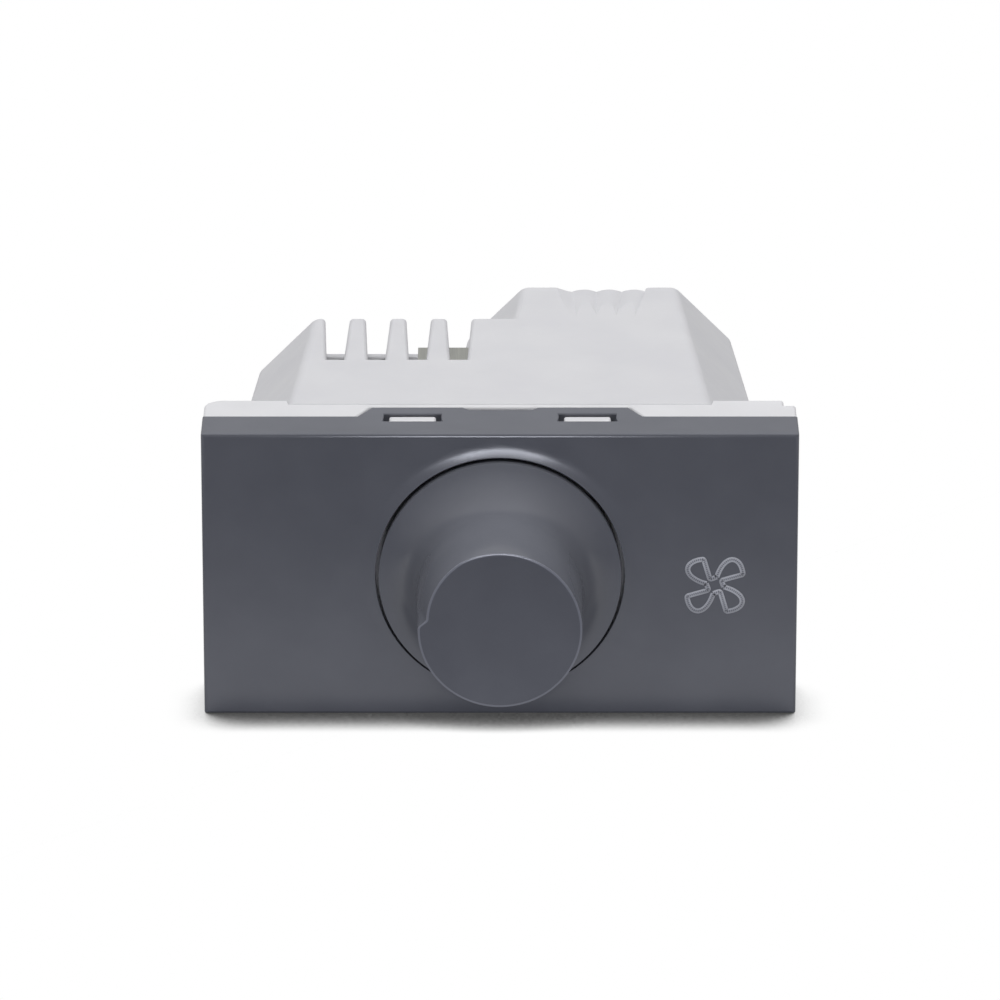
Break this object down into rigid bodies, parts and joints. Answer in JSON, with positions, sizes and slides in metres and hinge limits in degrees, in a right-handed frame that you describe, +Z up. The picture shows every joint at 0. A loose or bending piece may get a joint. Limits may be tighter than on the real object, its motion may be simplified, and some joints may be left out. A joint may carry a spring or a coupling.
{
  "type": "fan speed control switch",
  "caption": "Rotary fan speed control insert for a wall plate: dark clip-on front with a flared knob, white carrier and a drafted rear housing with vent slots.",
  "frame": {"origin": "on the knob's axis, in the plane of the carrier's rear face, which seats on the support frame", "axes": "+X to the right seen from the front, +Y from the face to the rear, +Z up; stands on its lower side"},
  "size_m": [0.05, 0.0515, 0.0252],
  "materials": {
    "graphite_abs": "fine satin moulding",
    "white_pc": "satin moulding",
    "aluminium_sheet": "rolled sheet",
    "brass": "bright",
    "zinc_steel": "zinc plated",
    "board_laminate": "solder mask",
    "phenolic": "pressed laminate",
    "epoxy_black": "moulded epoxy",
    "ferrite": "sintered",
    "copper_wire": "enamelled",
    "capacitor_case": "moulded case",
    "component_coat": "lacquer coat",
    "glass_case": "glass case"
  },
  "bodies": {
    "insert": {"front_cover": "graphite_abs", "mounting_frame": "white_pc", "rear_housing": "white_pc", "heat_sink": "aluminium_sheet", "potentiometer_can": "zinc_steel", "potentiometer_bushing": "brass", "bushing_nut": "brass", "bushing_washer": "zinc_steel", "resistance_wafer": "phenolic", "potentiometer_pins": "brass", "circuit_board": "board_laminate", "board_screws": "zinc_steel", "triac": "epoxy_black", "triac_screw": "zinc_steel", "choke_core": "ferrite", "choke_winding": "copper_wire", "film_capacitor": "capacitor_case", "timing_capacitor": "capacitor_case", "resistors": "component_coat", "diac": "glass_case", "fuse": "component_coat", "terminal_cage_line": "brass", "terminal_cage_load": "brass", "terminal_screw_line": "zinc_steel", "terminal_screw_load": "zinc_steel"},
    "knob": {"control_knob": "graphite_abs", "potentiometer_shaft": "zinc_steel", "wiper_disc": "phenolic"}
  },
  "joints": [
    {"name": "knob_turn", "type": "hinge", "parent": "insert", "child": "knob", "pos_m": [0, 0, 0], "axis": [0, 1, 0], "range_deg": [0, 270]}
  ]
}
